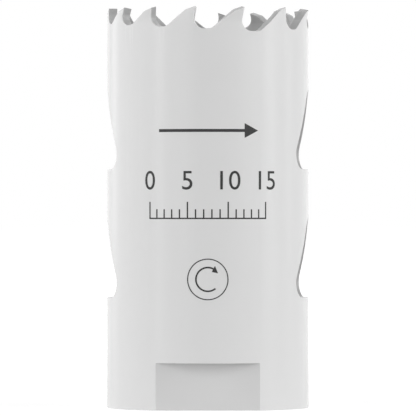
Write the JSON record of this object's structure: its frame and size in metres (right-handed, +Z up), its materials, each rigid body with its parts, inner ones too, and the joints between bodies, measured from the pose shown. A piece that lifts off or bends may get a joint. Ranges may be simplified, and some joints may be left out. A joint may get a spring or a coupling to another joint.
{
  "type": "hole saw",
  "caption": "Cup-shaped rotary saw: a rolled steel tube with a toothed rim, chip slots in its sides and a threaded back plate with two wrench flats.",
  "frame": {"origin": "centre of the base face, where the saw's axis meets it", "axes": "+Z up the saw's axis from the back plate to the teeth, -Y out of the front wrench flat, +X to the right of someone who looks at the front"},
  "size_m": [0.025, 0.0251, 0.0494],
  "materials": {
    "coated_strip": "pale grey satin coating on spring steel strip",
    "coated_plate": "pale grey satin coating on turned steel",
    "coated_tips": "pale grey satin coating on high-speed steel"
  },
  "bodies": {
    "root": {"saw_body": "coated_strip", "back_plate": "coated_plate", "tooth_tip_01": "coated_tips", "tooth_tip_02": "coated_tips", "tooth_tip_03": "coated_tips", "tooth_tip_04": "coated_tips", "tooth_tip_05": "coated_tips", "tooth_tip_06": "coated_tips", "tooth_tip_07": "coated_tips", "tooth_tip_08": "coated_tips", "tooth_tip_09": "coated_tips", "tooth_tip_10": "coated_tips", "tooth_tip_11": "coated_tips", "tooth_tip_12": "coated_tips", "tooth_tip_13": "coated_tips", "tooth_tip_14": "coated_tips"}
  },
  "joints": []
}
